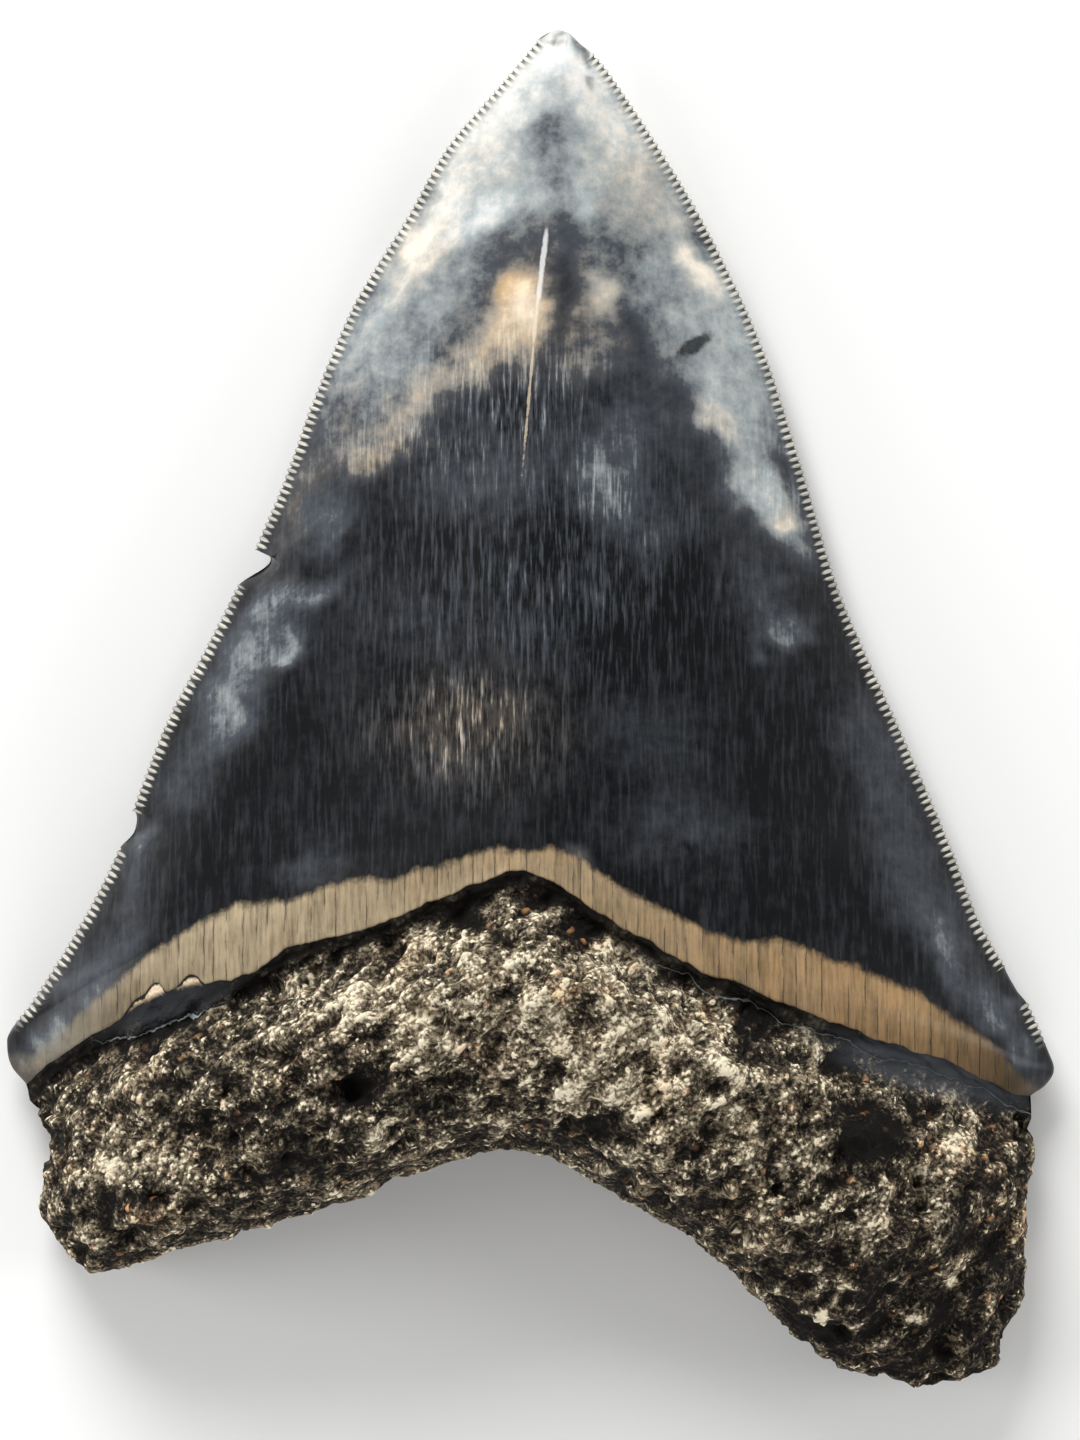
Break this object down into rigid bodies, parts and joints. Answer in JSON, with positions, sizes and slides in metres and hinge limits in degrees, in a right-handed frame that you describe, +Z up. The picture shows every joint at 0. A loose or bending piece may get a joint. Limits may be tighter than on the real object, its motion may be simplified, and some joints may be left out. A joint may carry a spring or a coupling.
{
  "type": "fossil megalodon tooth",
  "caption": "Large triangular fossil shark tooth with serrated cutting edges and a two-lobed rough root, lying on its flat face for display.",
  "frame": {"origin": "middle of the tooth's box, on the surface that it lies on", "axes": "+X across the tooth, +Y from the root to the tip, +Z up out of the bulging lingual face"},
  "size_m": [0.0984, 0.1272, 0.0281],
  "materials": {
    "fossil_tooth": "satin enamel, rough root"
  },
  "bodies": {
    "root": {"tooth": "fossil_tooth"}
  },
  "joints": []
}
